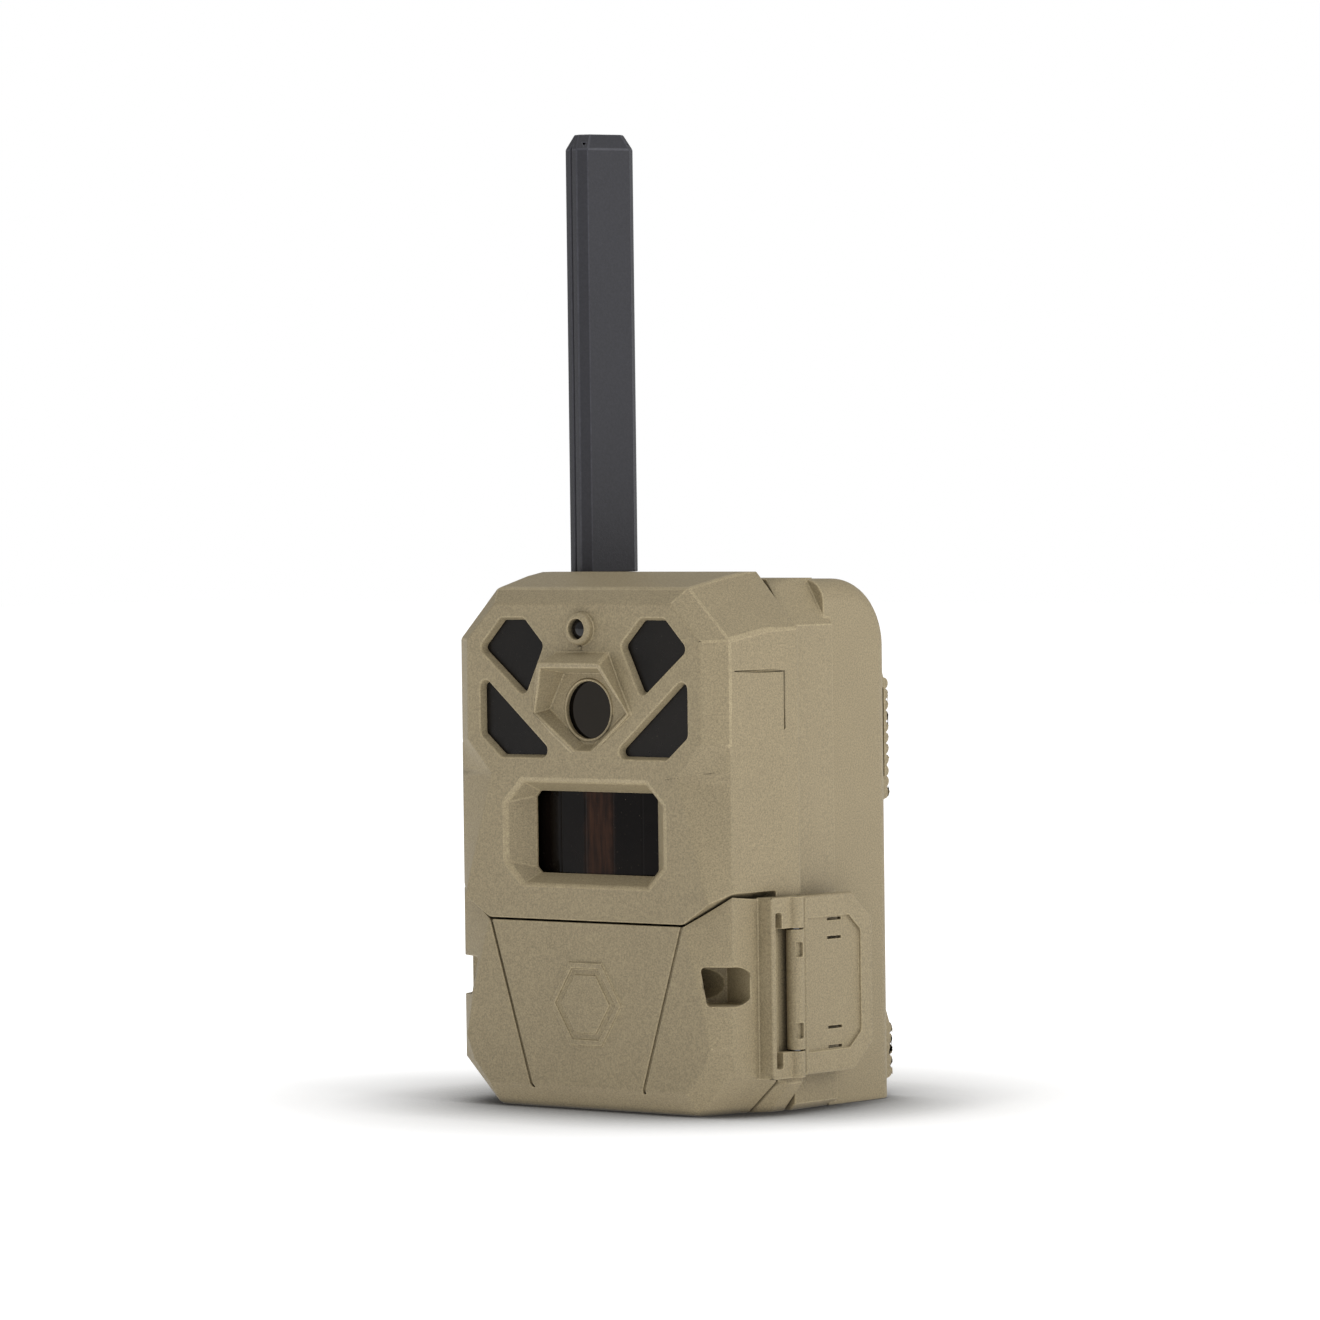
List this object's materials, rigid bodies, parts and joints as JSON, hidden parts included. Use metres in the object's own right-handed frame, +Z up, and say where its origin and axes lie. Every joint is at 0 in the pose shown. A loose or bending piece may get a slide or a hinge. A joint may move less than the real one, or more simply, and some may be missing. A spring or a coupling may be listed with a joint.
{
  "type": "trail camera",
  "caption": "Cellular trail camera with a hooded lens, infrared windows, motion-sensor strip, hinged lower door with side latch, strap cleats and an upright blade antenna.",
  "frame": {"origin": "on the flat underside, midway across the housing, on the axis of the tripod thread (45 mm behind the plane of the flat front face)", "axes": "+X to the right of someone facing the front, +Y back towards the tree, +Z up"},
  "size_m": [0.1178, 0.0944, 0.2836],
  "materials": {
    "tan_plastic": "moulded, fine spark-eroded grain",
    "antenna_plastic": "moulded, fine grain",
    "dark_plastic": "moulded, fine grain",
    "button_plastic": "moulded, smooth",
    "card_plastic": "smooth",
    "cell_jacket": "printed wrap, plain",
    "cable_black": "extruded jacket",
    "circuit_board": "solder mask",
    "black_seal": "moulded silicone",
    "ir_filter": "polished, almost black",
    "pir_film": "satin, smoky",
    "clear_plastic": "polished",
    "clear_glass": "coated, polished",
    "tinted_glass": "coated, polished",
    "steel": "plated",
    "brass": "turned",
    "copper": "etched"
  },
  "bodies": {
    "camera": {"front_shell": "tan_plastic", "rear_housing": "tan_plastic", "housing_gasket": "black_seal", "housing_screws": "steel", "tripod_inserts": "brass", "dc_jack": "dark_plastic", "ir_windows": "ir_filter", "ir_led_board": "circuit_board", "ir_leds": "ir_filter", "lens_window": "clear_glass", "lens_barrel": "dark_plastic", "lens_front_element": "clear_glass", "ir_cut_frame": "dark_plastic", "image_sensor_board": "circuit_board", "light_sensor_lens": "clear_plastic", "pir_lens": "pir_film", "pir_sensor": "steel", "main_board": "circuit_board", "board_screws": "steel", "cell_modem": "steel", "coax_cable": "cable_black", "control_panel": "dark_plastic", "control_board": "circuit_board", "status_lights": "clear_plastic", "sd_socket": "steel", "sd_card": "dark_plastic", "sim_card": "card_plastic", "battery_tray": "dark_plastic", "battery_cells": "cell_jacket", "battery_contacts": "steel", "tray_cover": "dark_plastic", "hinge_pin": "steel", "antenna_jack": "brass", "antenna_nut": "brass"},
    "door": {"door_panel": "tan_plastic", "door_liner": "dark_plastic", "door_gasket": "black_seal", "latch_pin": "steel"},
    "latch": {"latch_lever": "tan_plastic"},
    "antenna": {"antenna_front_shell": "antenna_plastic", "antenna_back_shell": "antenna_plastic", "antenna_element": "copper", "antenna_coupling": "brass"},
    "port_cover": {"port_cover": "black_seal"},
    "setup_button": {"setup_button": "button_plastic"},
    "ir_cut": {"ir_cut_filter": "tinted_glass"}
  },
  "joints": [
    {"name": "door_hinge", "type": "hinge", "parent": "camera", "child": "door", "pos_m": [-0.0563, -0.0186, 0.0365], "axis": [0, 0, -1], "range_deg": [0, 115]},
    {"name": "latch_hinge", "type": "hinge", "parent": "door", "child": "latch", "pos_m": [0.0563, -0.0186, 0.0365], "axis": [0, 0, -1], "range_deg": [0, 110]},
    {"name": "antenna_turn", "type": "hinge", "parent": "camera", "child": "antenna", "pos_m": [-0.0302, 0.001, 0.155], "axis": [0, 0, 1], "range_deg": [-180, 180]},
    {"name": "port_cover_hinge", "type": "hinge", "parent": "camera", "child": "port_cover", "pos_m": [0.034, 0.0162, 0.0012], "axis": [-1, 0, 0], "range_deg": [0, 90]},
    {"name": "setup_button_press", "type": "slide", "parent": "camera", "child": "setup_button", "axis": [0, 1, 0], "range_m": [0, 0.0008]},
    {"name": "ir_cut_slide", "type": "slide", "parent": "camera", "child": "ir_cut", "axis": [1, 0, 0], "range_m": [0, 0.005]}
  ]
}
